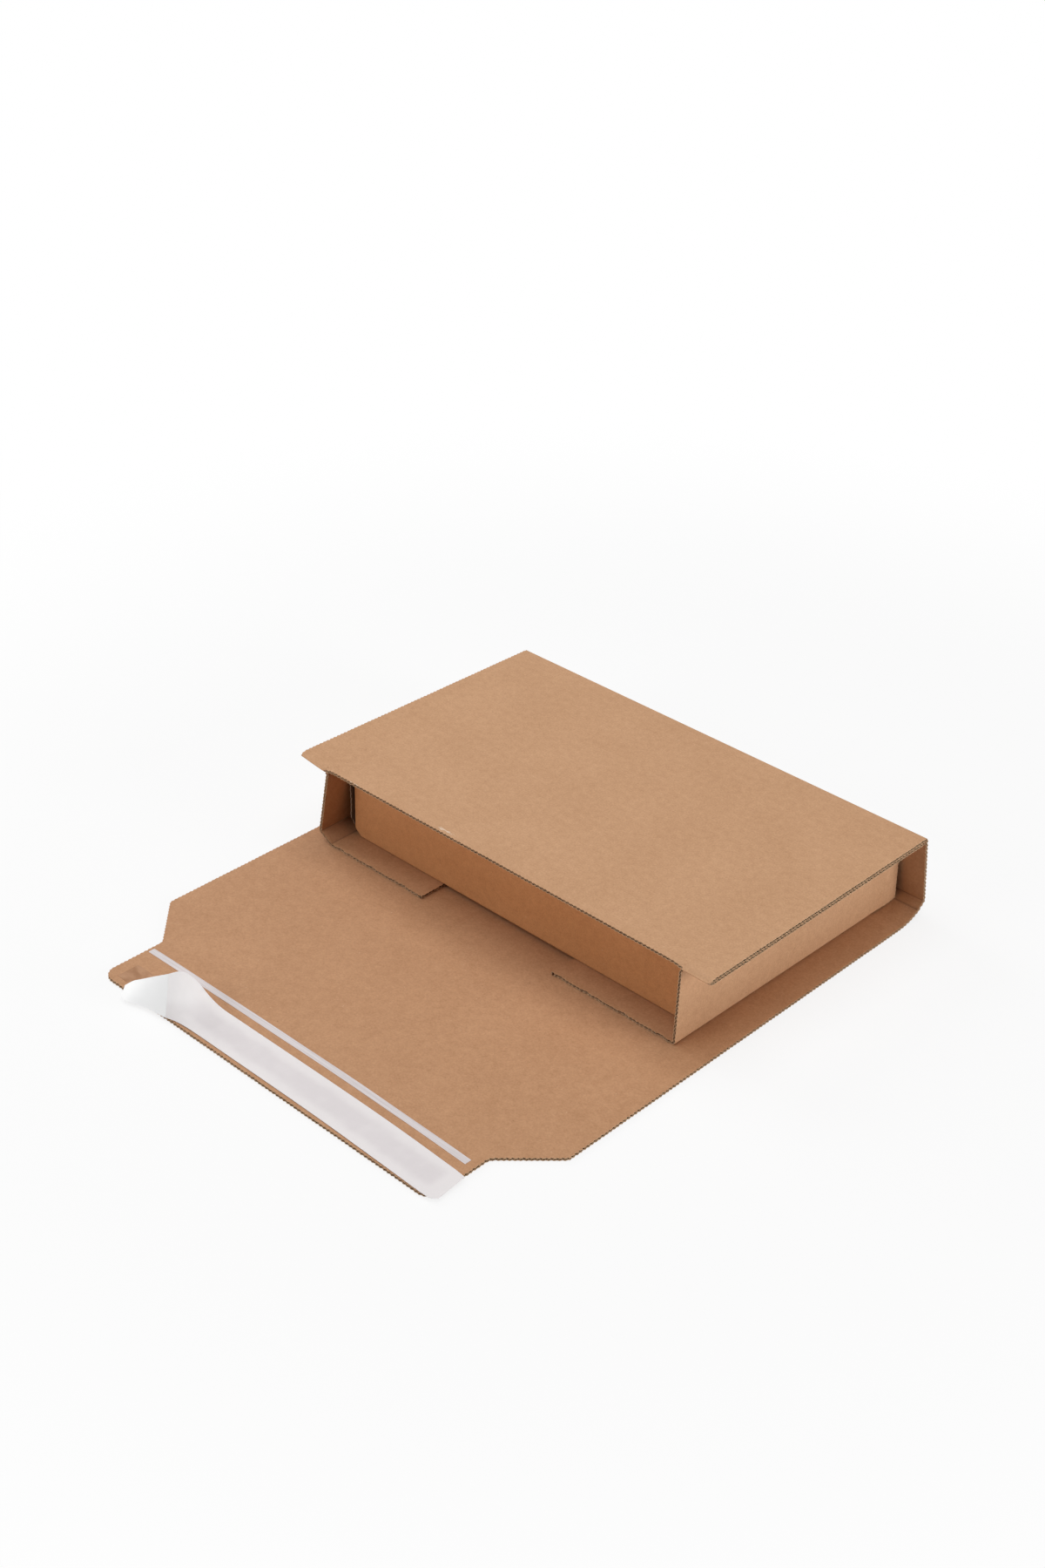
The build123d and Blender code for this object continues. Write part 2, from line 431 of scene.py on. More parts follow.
class NodeSketch:
    """Adds wired nodes to a node tree."""

    def __init__(self, tree: bpy.types.NodeTree) -> None:
        """Keeps the tree that the nodes go into."""
        self.tree = tree

    def add(self, kind: str, inputs: dict | None = None, **settings: object) -> bpy.types.Node:
        """Adds one node.

        Args:
            kind: type of the node, without its leading ShaderNode.
            inputs: value or socket for each named or numbered input.
            settings: properties of the node.

        Returns:
            The new node.
        """
        node = self.tree.nodes.new(f"ShaderNode{kind}")
        for name, value in settings.items():
            setattr(node, name, value)
        self.feed(node, inputs or {})
        return node

    def feed(self, node: bpy.types.Node, inputs: dict) -> None:
        """Wires sockets to inputs of a node, and sets plain values on them.

        Args:
            node: the node.
            inputs: value or socket for each named or numbered input.
        """
        for name, value in inputs.items():
            if isinstance(value, bpy.types.NodeSocket):
                self.tree.links.new(value, node.inputs[name])
            else:
                node.inputs[name].default_value = value

    def attribute(self, name: str, output: str) -> Socket:
        """Reads an attribute of the mesh."""
        return self.add("Attribute", attribute_name=name).outputs[output]

    def axis(self, vector: Socket, name: str) -> Socket:
        """Gives one coordinate of a vector."""
        return self.add("SeparateXYZ", {0: vector}).outputs[name]

    def math(self, operation: str, *values: object) -> Socket:
        """Adds a Math node and gives its result."""
        return self.add("Math", dict(enumerate(values)), operation=operation).outputs[0]

    def vector(self, operation: str, *values: object) -> Socket:
        """Adds a Vector Math node and gives its vector."""
        return self.add("VectorMath", dict(enumerate(values)), operation=operation).outputs["Vector"]

    def distance(self, vector: Socket) -> Socket:
        """Gives the length of a vector."""
        return self.add("VectorMath", {0: vector}, operation="LENGTH").outputs["Value"]

    def ramp(self, value: Socket, low: float, high: float) -> Socket:
        """Gives a smooth step of a value from 0 at low to 1 at high."""
        inputs = {"Value": value, "From Min": low, "From Max": high}
        return self.add("MapRange", inputs, interpolation_type="SMOOTHSTEP").outputs[0]

    def noise(self, place: Socket, fineness: float | Triple, detail: float) -> Socket:
        """Gives a noise value.

        Args:
            place: where it is read.
            fineness: blobs per metre, the same in all directions or one number for each axis.
            detail: how many finer layers it has.

        Returns:
            The value, about 0.5 on average.
        """
        if isinstance(fineness, tuple):
            place, fineness = self.vector("MULTIPLY", place, fineness), 1.0
        return self.add("TexNoise", {"Vector": place, "Scale": fineness, "Detail": detail}).outputs[0]

    def mix(self, factor: object, first: object, second: object, blend: str = "MIX") -> Socket:
        """Mixes two colours."""
        inputs = {"Factor": factor, 6: padded(first), 7: padded(second)}
        return self.add("Mix", inputs, data_type="RGBA", blend_type=blend).outputs[2]

    def bump(self, height: Socket, strength: float, distance: float) -> Socket:
        """Gives the normal of a surface that a height dents."""
        return self.add("Bump", {"Height": height, "Strength": strength, "Distance": distance}).outputs[0]


def padded(colour: object) -> object:
    """Gives a colour of three values its alpha, and leaves a socket as it is."""
    return (*colour, 1.0) if isinstance(colour, tuple) else colour


class MaterialSketch(NodeSketch):
    """Nodes of a new material that holds one Principled shader."""

    def __init__(self, name: str) -> None:
        """Makes the material.

        Args:
            name: name of the material.
        """
        self.material = bpy.data.materials.new(name)
        self.material.use_nodes = True
        super().__init__(self.material.node_tree)
        self.shader = self.tree.nodes["Principled BSDF"]

    def dressed(self, inputs: dict) -> bpy.types.Material:
        """Feeds the shader and gives the material."""
        self.feed(self.shader, inputs)
        return self.material


class GroupSketch(NodeSketch):
    """Nodes of a new shader node group."""

    def __init__(self, name: str, inputs: dict[str, str], outputs: dict[str, str]) -> None:
        """Makes the group with its input and output nodes.

        Args:
            name: name of the group.
            inputs: names and kinds of its inputs, such as Float or Vector.
            outputs: names and kinds of its outputs.
        """
        self.group = bpy.data.node_groups.new(name, "ShaderNodeTree")
        super().__init__(self.group)
        for side, sockets in (("INPUT", inputs), ("OUTPUT", outputs)):
            for socket, kind in sockets.items():
                self.group.interface.new_socket(socket, in_out=side, socket_type=f"NodeSocket{kind}")
        self.given = self.group.nodes.new("NodeGroupInput").outputs
        self.result = self.group.nodes.new("NodeGroupOutput")

    def finished(self, outputs: dict[str, Socket]) -> bpy.types.NodeTree:
        """Feeds the outputs and gives the group."""
        self.feed(self.result, outputs)
        return self.group


@dataclass
class PaperGroups:
    """The node groups that the finishes share, with the fineness of their patterns per metre."""

    grain: Triple = (820.0, 820.0, 700.0)
    mottle: float = 210.0
    clouds: float = 24.0
    dark_fibres: Triple = (420.0, 700.0, 500.0)
    dark_limits: Pair = (0.74, 0.84)
    light_fibres: Triple = (880.0, 380.0, 500.0)
    light_limits: Pair = (0.72, 0.84)
    fibre: bpy.types.NodeTree = field(init=False)
    flutes: bpy.types.NodeTree = field(init=False)

    def __post_init__(self) -> None:
        """Builds both groups."""
        self.fibre = self._fibre_group()
        self.flutes = self._flute_group()

    def _fibre_group(self) -> bpy.types.NodeTree:
        """Makes the group for the felt, clouds and loose fibres of uncoated paper.

        Shade is 1 plus a fine grain, a mottle of a few millimetres and wide clouds, Dark and Light are
        masks of single fibres, and Height is the felt of the surface.

        Returns:
            The group.
        """
        inputs = {"Place": "Vector", "Grain": "Float", "Mottle": "Float", "Cloud": "Float"}
        outputs = {"Shade": "Float", "Dark": "Float", "Light": "Float", "Height": "Float"}
        sketch = GroupSketch("paper_fibre", inputs, outputs)
        place = sketch.given["Place"]
        grain = sketch.noise(place, self.grain, detail=4.0)
        mottle = sketch.noise(place, self.mottle, detail=3.0)
        clouds = sketch.noise(place, self.clouds, detail=3.0)
        shade = 1.0
        for pattern, name in ((grain, "Grain"), (mottle, "Mottle"), (clouds, "Cloud")):
            even = sketch.math("SUBTRACT", pattern, 0.5)
            shade = sketch.math("MULTIPLY_ADD", even, sketch.given[name], shade)
        dark = sketch.ramp(sketch.noise(place, self.dark_fibres, detail=1.0), *self.dark_limits)
        light = sketch.ramp(sketch.noise(place, self.light_fibres, detail=1.0), *self.light_limits)
        return sketch.finished({"Shade": shade, "Dark": dark, "Light": light, "Height": grain})

    def _flute_group(self) -> bpy.types.NodeTree:
        """Makes the group for the faint lines that the flutes press through the liner.

        Wave is the cosine of the place across the flutes, one turn for each flute.

        Returns:
            The group.
        """
        sketch = GroupSketch("flute_lines", {"Place": "Vector", "Pitch": "Float"}, {"Wave": "Float"})
        across = sketch.axis(sketch.given["Place"], "Y")
        turn = sketch.math("MULTIPLY", sketch.math("DIVIDE", across, sketch.given["Pitch"]), 2 * math.pi)
        return sketch.finished({"Wave": sketch.math("COSINE", turn)})


@dataclass(frozen=True)
class FibreLook:
    """How strongly the grain, the mottle and the clouds of a paper show."""

    grain: float
    mottle: float
    cloud: float

    def add_to(self, sketch: NodeSketch, groups: PaperGroups, place: Socket) -> bpy.types.bpy_prop_collection:
        """Places the paper fibre group in a material and gives its outputs."""
        values = {"Place": place, "Grain": self.grain, "Mottle": self.mottle, "Cloud": self.cloud}
        return sketch.add("Group", values, node_tree=groups.fibre).outputs


@dataclass(frozen=True)
class Scuff:
    """A patch of the face where the top fibres are torn and show pale."""

    centre: Triple
    size: Triple


@dataclass(frozen=True)
class KraftFinish:
    """Brown kraft paper, matt, with fibres, clouds, worn folds, painted shade in the inner face's folds and
    the faint print of the flutes.
    """

    name: str
    base: Colour
    inside: Colour  # the liner on the inner face of the sheet
    scuffs: tuple[Scuff, ...] = ()
    look: FibreLook = FibreLook(0.8, 0.48, 0.3)
    spread: float = 0.25  # how far pale and dark spots lie from the base colour
    tint: Colour = (1.0, 1.28, 1.65)  # pale spots are greyer and dark spots are redder
    flute_pitch: float = FLUTE_PITCH * MM
    flute_print: float = 0.004
    flute_relief: float = 0.04
    fleck_dark: Colour = linear(120, 80, 50)
    dark_share: float = 0.55
    fleck_light: Colour = linear(226, 196, 166)
    light_share: float = 0.45
    torn: Colour = linear(236, 218, 198)
    torn_share: float = 0.65
    torn_fineness: Triple = (300.0, 800.0, 600.0)
    torn_fade: float = 0.25
    torn_limits: Pair = (0.36, 0.44)
    worn_fold: float = 1.10
    # painted shade in the folds of the inner face, where the board closes into a dark crevice
    inner_crease_shade: float = 0.55
    felt: float = 0.14
    felt_height: float = 0.2 * MM
    roughness: float = 0.72
    specular: float = 0.45

    def material(self, groups: PaperGroups) -> bpy.types.Material:
        """Makes the material.

        Args:
            groups: the shared node groups.

        Returns:
            The material.
        """
        sketch = MaterialSketch(self.name)
        place = sketch.attribute(PLACE, "Vector")
        crease = sketch.attribute(CREASE, "Fac")
        fibre = self.look.add_to(sketch, groups, place)
        flutes = sketch.add("Group", {"Place": place, "Pitch": self.flute_pitch}, node_tree=groups.flutes)
        wave = flutes.outputs["Wave"]
        inner_face = sketch.math("GREATER_THAN", sketch.axis(place, "Z"), BOARD / 2 * MM)
        printed = sketch.math("MULTIPLY_ADD", wave, self.flute_print, 1.0)
        # At folds the outer face is worn paler, and the inner face is darkened with painted shade.
        fold = sketch.math("MULTIPLY_ADD", inner_face, self.inner_crease_shade - self.worn_fold, self.worn_fold)
        folded = sketch.math("MULTIPLY_ADD", crease, sketch.math("SUBTRACT", fold, 1.0), 1.0)
        shade = sketch.math("MULTIPLY", printed, folded)
        spots = sketch.math("SUBTRACT", fibre["Shade"], 0.5)
        dark = sketch.mix(inner_face, self._spot(self.base, -1), self._spot(self.inside, -1))
        pale = sketch.mix(inner_face, self._spot(self.base, 1), self._spot(self.inside, 1))
        colour = sketch.mix(1.0, sketch.mix(spots, dark, pale), shade, "MULTIPLY")
        dark_flecks = sketch.math("MULTIPLY", fibre["Dark"], self.dark_share)
        light_flecks = sketch.math("MULTIPLY", fibre["Light"], self.light_share)
        colour = sketch.mix(dark_flecks, colour, self.fleck_dark)
        colour = sketch.mix(light_flecks, colour, self.fleck_light)
        for scuff in self.scuffs:
            colour = sketch.mix(self._torn_mask(sketch, place, scuff), colour, self.torn)
        height = sketch.math("MULTIPLY_ADD", wave, self.flute_relief, fibre["Height"])
        normal = sketch.bump(height, self.felt, self.felt_height)
        plain = {"Roughness": self.roughness, "Specular IOR Level": self.specular}
        return sketch.dressed({"Base Color": colour, "Normal": normal, **plain})

    def _spot(self, colour: Colour, sign: int) -> Colour:
        """Gives the palest or the darkest spot of a colour."""
        return tuple(c * (1 + sign * self.spread * t) for c, t in zip(colour, self.tint))

    def _torn_mask(self, sketch: NodeSketch, place: Socket, scuff: Scuff) -> Socket:
        """Masks a scuff: coarse noise that fades out from the centre of an oval.

        Args:
            sketch: nodes of the material.
            place: place on the unfolded sheet.
            scuff: the oval.

        Returns:
            The mask.
        """
        offset = sketch.vector("SUBTRACT", place, scuff.centre)
        away = sketch.distance(sketch.vector("DIVIDE", offset, scuff.size))
        ragged = sketch.noise(place, self.torn_fineness, detail=3.0)
        faded = sketch.math("SUBTRACT", ragged, sketch.math("MULTIPLY", away, self.torn_fade))
        return sketch.math("MULTIPLY", sketch.ramp(faded, *self.torn_limits), self.torn_share)


@dataclass(frozen=True)
class CutEdgeFinish:
    """Cut edge of the board: pale torn fibres on the liners, and painted shade darkening the hollow between
    them.
    """

    name: str
    fibre: Colour = linear(218, 183, 147)
    # painted shade: colour of the hollow between the liners, where the flutes lie in shadow
    deep: Colour = linear(96, 61, 38)
    look: FibreLook = FibreLook(0.5, 0.3, 0.1)
    roughness: float = 0.95
    specular: float = 0.1

    def material(self, groups: PaperGroups) -> bpy.types.Material:
        """Makes the material.

        Args:
            groups: the shared node groups.

        Returns:
            The material.
        """
        sketch = MaterialSketch(self.name)
        fibre = self.look.add_to(sketch, groups, sketch.attribute(PLACE, "Vector"))
        colour = sketch.mix(1.0, self.fibre, fibre["Shade"], "MULTIPLY")
        # Painted shade: the deeper a point lies in the cut, the nearer it is to the hollow's dark colour
        colour = sketch.mix(sketch.attribute(DEPTH, "Fac"), colour, self.deep)
        plain = {"Roughness": self.roughness, "Specular IOR Level": self.specular}
        return sketch.dressed({"Base Color": colour, **plain})


@dataclass(frozen=True)
class LinerFinish:
    """White silicone-coated paper with a soft sheen, greyed where it lies on the board and the adhesive."""

    name: str
    crease_run: float  # length along the liner to the crease of its folded tip
    crease_soft: float = 0.6 * MM
    # painted light: the folded tip is whiter than the lifted part, where it faces the lamps
    tip: Colour = linear(255, 255, 255)
    lifted: Colour = linear(249, 246, 246)
    lift_levels: Pair = (2.6 * MM, 14.0 * MM)
    lying: Colour = linear(238, 233, 233)
    band: Colour = linear(227, 221, 222)  # over the adhesive
    band_edges: Pair = (5.2 * MM, 17.2 * MM)
    band_start: float = 10.0 * MM
    band_soft: float = 2.8 * MM
    band_stray: float = 6.0 * MM
    stray_fineness: float = 70.0
    patch_fineness: float = 110.0
    least_patch: float = 0.45
    look: FibreLook = FibreLook(0.02, 0.03, 0.05)
    crinkle: float = 0.15
    crinkle_fineness: float = 60.0
    crinkle_height: float = 0.8 * MM
    roughness: float = 0.5
    specular: float = 0.35

    def material(self, groups: PaperGroups) -> bpy.types.Material:
        """Makes the material.

        Args:
            groups: the shared node groups.

        Returns:
            The material.
        """
        sketch = MaterialSketch(self.name)
        place = sketch.attribute(PLACE, "Vector")
        run = sketch.axis(place, "X")
        level = sketch.axis(sketch.add("TexCoord").outputs["Object"], "Z")
        lift = sketch.ramp(level, *self.lift_levels)
        folded = sketch.ramp(run, self.crease_run - self.crease_soft, self.crease_run + self.crease_soft)
        colour = sketch.mix(self._band_mask(sketch, place, run), self.lying, self.band)
        # Past the crease the tip takes its whiter colour, painted light where it faces the lamps
        colour = sketch.mix(folded, sketch.mix(lift, colour, self.lifted), self.tip)
        fibre = self.look.add_to(sketch, groups, place)
        colour = sketch.mix(1.0, colour, fibre["Shade"], "MULTIPLY")
        crinkles = sketch.noise(place, self.crinkle_fineness, detail=2.0)
        normal = sketch.bump(crinkles, self.crinkle, self.crinkle_height)
        plain = {"Roughness": self.roughness, "Specular IOR Level": self.specular}
        return sketch.dressed({"Base Color": colour, "Normal": normal, **plain})

    def _band_mask(self, sketch: NodeSketch, place: Socket, run: Socket) -> Socket:
        """Masks the band over the adhesive: soft steps across the liner and along it, times patches of noise.

        Args:
            sketch: nodes of the material.
            place: place on the liner.
            run: length along it.

        Returns:
            The mask.
        """
        soft = self.band_soft
        front, back = self.band_edges
        stray = sketch.math("SUBTRACT", sketch.noise(place, self.stray_fineness, detail=2.0), 0.5)
        across = sketch.math("MULTIPLY_ADD", stray, self.band_stray, sketch.axis(place, "Y"))
        enter = sketch.ramp(across, front - soft, front + soft)
        leave = sketch.ramp(across, back + soft, back - soft)
        start = sketch.ramp(run, self.band_start - soft, self.band_start + soft)
        patches = sketch.math("ADD", sketch.noise(place, self.patch_fineness, detail=3.0), self.least_patch)
        inside = sketch.math("MULTIPLY", enter, leave)
        return sketch.math("MULTIPLY", inside, sketch.math("MULTIPLY", start, patches))


@dataclass(frozen=True)
class FilmFinish:
    """Thin glossy film on the board: the adhesive band or the tear strip."""

    name: str
    base: Colour
    shade: Colour
    roughness: float
    ripple: float
    streak: Triple  # how fine its streaks are along and across it, per metre
    streak_limits: Pair = (0.35, 0.7)
    streak_dulling: float = 0.15
    ripple_height: float = 0.3 * MM
    look: FibreLook = FibreLook(0.08, 0.06, 0.08)

    def material(self, groups: PaperGroups) -> bpy.types.Material:
        """Makes the material.

        Args:
            groups: the shared node groups.

        Returns:
            The material.
        """
        sketch = MaterialSketch(self.name)
        place = sketch.attribute(PLACE, "Vector")
        fibre = self.look.add_to(sketch, groups, place)
        streaks = sketch.noise(place, self.streak, detail=2.0)
        patches = sketch.ramp(streaks, *self.streak_limits)
        colour = sketch.mix(1.0, sketch.mix(patches, self.base, self.shade), fibre["Shade"], "MULTIPLY")
        rough = sketch.math("MULTIPLY_ADD", patches, self.streak_dulling, self.roughness)
        normal = sketch.bump(streaks, self.ripple, self.ripple_height)
        return sketch.dressed({"Base Color": colour, "Roughness": rough, "Normal": normal})


# Corrugated board


class Face(IntEnum):
    """Materials of the board and of the carton."""

    KRAFT = 0
    CUT = 1
    # the dust flap's faces, darkened with painted shade
    PAINTED_SHADE = 2


class Follow(IntEnum):
    """Which coordinate of the unfolded sheet follows a panel's path."""

    FIRST = 0  # the path lies in the XZ plane
    SECOND = 1  # the path lies in the YZ plane


@dataclass(frozen=True)
class BoardMake:
    """Build of the corrugated board and of its serrated cut."""

    thickness: float = BOARD
    liner: float = 0.26
    tooth_pitch: float = 3.1
    tooth_depth: float = 0.6
    flute_pitch: float = FLUTE_PITCH
    open_across: float = 1.4  # how deep a cut across the flutes is open between the liners
    open_along: float = 0.9  # how deep a cut along the flutes is open
    medium: float = 0.3
    # painted shade on the medium's front edge, as a share of that at its back
    medium_inset: float = 0.08
    medium_shade: float = 0.2  # how dark the medium's front edge is, against its back
    wave_steps: int = 6
    seam_step: float = 0.8

    def tooth(self, share: Array, station: Array) -> Array:
        """Gives how far the serrated cut lies inside its line.

        A triangle wave, 0 at a tooth's tip and tooth_depth between two teeth, times a slow wobble of
        two sines.

        Args:
            share: place within the tooth, from tip (0) to tip (1).
            station: length along the line.

        Returns:
            Distances inwards.
        """
        wobble = 1 + 0.18 * np.sin(0.83 * station) + 0.14 * np.sin(2.17 * station + 1)
        return self.tooth_depth * (1 - np.abs(2 * share - 1)) * wobble

    def opening(self, inward: Array) -> Array:
        """Gives how deep a cut is open, from its inward directions: the flutes run along the first axis."""
        return self.open_along + (self.open_across - self.open_along) * np.abs(inward[:, 0])


@dataclass(frozen=True)
class EdgeRun:
    """One stretch of a panel's outline, with the panel on its left: a serrated cut, or a seam."""

    line: BentLine
    cut: bool = True
    rough: float = 0.0  # how far a worn cut strays inwards

    def teeth(self, make: BoardMake) -> int:
        """Whole number of teeth along the run."""
        return max(1, round(self.line.length / make.tooth_pitch))

    def wear(self, station: Array) -> Array:
        """Gives how far a worn cut lies inside its line: a product of two slow sines, squared."""
        return self.rough * (np.sin(0.31 * station + 2) * np.sin(0.113 * station + 0.4)) ** 2

    def corners(self, make: BoardMake) -> tuple[Array, Array]:
        """Gives the corners of the run's outline, without its last point.

        Args:
            make: the board's build.

        Returns:
            The corners, tip and valley by turns on a cut, and the inward directions there.
        """
        count = 2 * self.teeth(make) if self.cut else max(1, math.ceil(self.line.length / make.seam_step))
        station = np.arange(count) * self.line.length / count
        point, inward = self.line.at(station)
        share = np.arange(count) % 2 / 2
        depth = make.tooth(share, station) + self.wear(station) if self.cut else np.zeros(count)
        return point + inward * depth[:, None], inward

    def wave(self, make: BoardMake) -> tuple[Array, Array, Array, Array]:
        """Gives fine points along the cut for the fluted medium that shows in it.

        Args:
            make: the board's build.

        Returns:
            Points on the line, inward directions, how far in the cut lies, and the medium's height
            as a sine of the length along the line, one turn for each flute.
        """
        count = max(2, round(self.line.length / make.flute_pitch) * make.wave_steps)
        station = np.linspace(0, self.line.length, count)
        point, inward = self.line.at(station)
        share = (station * self.teeth(make) / self.line.length) % 1
        swing = make.thickness / 2 - make.liner - make.medium / 2
        height = make.thickness / 2 + swing * np.sin(2 * np.pi * station / make.flute_pitch)
        return point, inward, make.tooth(share, station) + self.wear(station), height


@dataclass
class BoardPanel:
    """A panel of the sheet: its outline on the unfolded sheet, and how it is bent."""

    runs: list[EdgeRun]
    path: BentLine
    follow: Follow
    columns: Array
    rows: Array
    shift: Pair = (0.0, 0.0)  # of its place on the unfolded sheet, so that panels don't look alike
    mirrored: bool = False
    warp: Callable[[Array], Array] | None = None

    def add_to(self, parts: MeshParts, make: BoardMake) -> None:
        """Builds both faces of the panel, its cut edges and the medium seen in them.

        Args:
            parts: the sheet that takes the panel.
            make: the board's build.
        """
        self._add_plies(parts, make)
        for run in self.runs:
            if run.cut:
                self._add_medium(parts, make, run)

    def _add_plies(self, parts: MeshParts, make: BoardMake) -> None:
        """Adds the two faces and the walls between them.

        The faces are one filled outline, bent at the outer and at the inner face. The walls are rings
        of the outline that run in between the liners on a cut and straight across on a seam, where the
        strips in and out of the opening have no width and are left out.

        Args:
            parts: the sheet that takes them.
            make: the board's build.
        """
        corners = [run.corners(make) for run in self.runs]
        loop = np.vstack([point for point, _ in corners])
        inward = np.vstack([direction for _, direction in corners])
        cut = np.concatenate([np.full(len(point), run.cut) for run, (point, _) in zip(self.runs, corners)])
        grid = np.stack(np.meshgrid(self.columns, self.rows), 2).reshape(-1, 2)
        flat, triangles = fill_loop(loop, grid[inside_loop(loop, grid)])
        count, around = len(flat), len(loop)
        opening = make.opening(inward) * cut
        hollow = loop + inward * opening[:, None]
        # Painted shade on the walls of a cut: darkest deep in the opening, none at the liners
        dark, pale = opening / make.open_across, np.zeros(around)
        low, high = make.liner, make.thickness - make.liner
        rings = [(loop, low, pale), (hollow, low, dark), (hollow, high, dark), (loop, high, pale)]
        sheet = np.vstack([flat, flat] + [ring for ring, _, _ in rings])
        levels = [np.full(around, level) for _, level, _ in rings]
        height = np.concatenate([np.zeros(count), np.full(count, make.thickness)] + levels)
        depth = np.concatenate([np.zeros(2 * count)] + [shade for _, _, shade in rings])
        first = np.arange(around)
        between = [2 * count + number * around + first for number in range(len(rings))]
        index = np.vstack([first, *between, count + first])
        after = np.roll(index, -1, axis=1)
        walls = quads_to_triangles(index[:-1], after[:-1], after[1:], index[1:])
        a, b, c = np.column_stack([sheet, height])[walls.T]
        apart = (a != b).any(axis=1) & (b != c).any(axis=1) & (c != a).any(axis=1)
        faces = np.vstack([triangles[:, ::-1], triangles + count, walls[apart]])
        edge = np.resize(np.where(cut, Face.CUT, Face.KRAFT), len(walls))[apart]
        finish = np.append(np.full(2 * len(triangles), Face.KRAFT), edge)
        rim = np.ones(len(sheet), bool)
        rim[around:count] = False
        rim[count + around : 2 * count] = False
        self._add_bent(parts, sheet, height, faces, depth, finish, rim)

    def _add_medium(self, parts: MeshParts, make: BoardMake, run: EdgeRun) -> None:
        """Adds the fluted medium along one cut.

        It is a wavy ribbon: four lines carried along the cut, joined all round and closed at both ends.

        Args:
            parts: the sheet that takes it.
            make: the board's build.
            run: the cut.
        """
        point, inward, cut, height = run.wave(make)
        opening = make.opening(inward)
        front = point + inward * (cut + make.medium_inset)[:, None]
        back = point + inward * (cut + opening)[:, None]
        low, high = height - make.medium / 2, height + make.medium / 2
        index = np.arange(4 * len(point)).reshape(4, -1)
        after = np.roll(index, -1, axis=0)
        sides = quads_to_triangles(index[:, :-1], index[:, 1:], after[:, 1:], after[:, :-1])
        halves = [[0, 1, 2], [0, 2, 3]]
        faces = np.vstack([sides, index[:, 0][halves], index[::-1, -1][halves]])
        # Painted shade: dark at the medium's back, a share of it at its front edge
        dark = opening / make.open_across
        front_painted_shade = make.medium_shade * dark
        sheet = np.vstack([back, front, front, back])
        levels = np.concatenate([low, low, high, high])
        depth = np.concatenate([dark, front_painted_shade, front_painted_shade, dark])
        finish = np.full(len(faces), Face.CUT)
        self._add_bent(parts, sheet, levels, faces, depth, finish, np.ones(len(sheet), bool))

    def _add_bent(
        self,
        parts: MeshParts,
        sheet: Array,
        height: Array,
        faces: Array,
        depth: Array,
        finish: Array,
        rim: Array,
    ) -> None:
        """Bends points of the unfolded sheet into place and adds them.

        A point goes to the path's point at its length along the path, moved by its height along the
        path's left normal, or by less where a sharp fold presses the board thin.

        Args:
            parts: the sheet that takes them.
            sheet: points on the unfolded sheet.
            height: their heights above its outer face.
            faces: triangles.
            depth: how deep in a cut edge each point lies.
            finish: material index of each triangle.
            rim: flags of the points on an edge that must shade sharp.
        """
        station = sheet[:, self.follow]
        point, normal = self.path.at(station)
        bent = point + normal * (height * self.path.pressed(station, BOARD))[:, None]
        if self.follow is Follow.SECOND:
            points = np.column_stack([sheet[:, 0], bent])
        else:
            points = np.column_stack([bent[:, 0], sheet[:, 1], bent[:, 1]])
        if self.mirrored:
            points = points * np.array([-1.0, 1.0, 1.0])
            faces = faces[:, ::-1]
        if self.warp:
            points = self.warp(points)
        place = np.column_stack([sheet + np.array(self.shift), height])
        parts.add(points, faces, place, depth, self.path.creasing(station), finish, rim)


